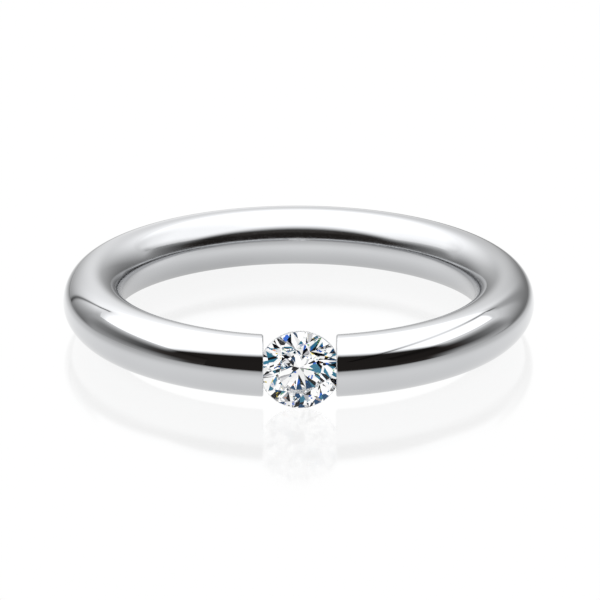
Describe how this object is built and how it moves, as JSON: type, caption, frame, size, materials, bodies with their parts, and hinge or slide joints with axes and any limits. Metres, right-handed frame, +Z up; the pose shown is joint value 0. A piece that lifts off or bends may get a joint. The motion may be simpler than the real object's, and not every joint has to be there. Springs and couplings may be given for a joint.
{
  "type": "tension set ring",
  "caption": "Finger ring of round polished wire, open at the front, whose two flat ends grip a round brilliant stone by its girdle.",
  "frame": {"origin": "centre of the finger hole, at the middle of the wire's height", "axes": "+Z along the finger hole's axis, upwards as the ring lies flat; -Y from the finger hole's centre through the stone, which shows its table that way; +X to the right as one looks at the stone with +Z up"},
  "size_m": [0.0234, 0.0233, 0.0038],
  "materials": {
    "band_metal": "mirror-polished white metal, steel or platinum grey",
    "stone": "clear colourless round brilliant, polished facets"
  },
  "bodies": {
    "root": {"band": "band_metal", "stone": "stone"}
  },
  "joints": []
}
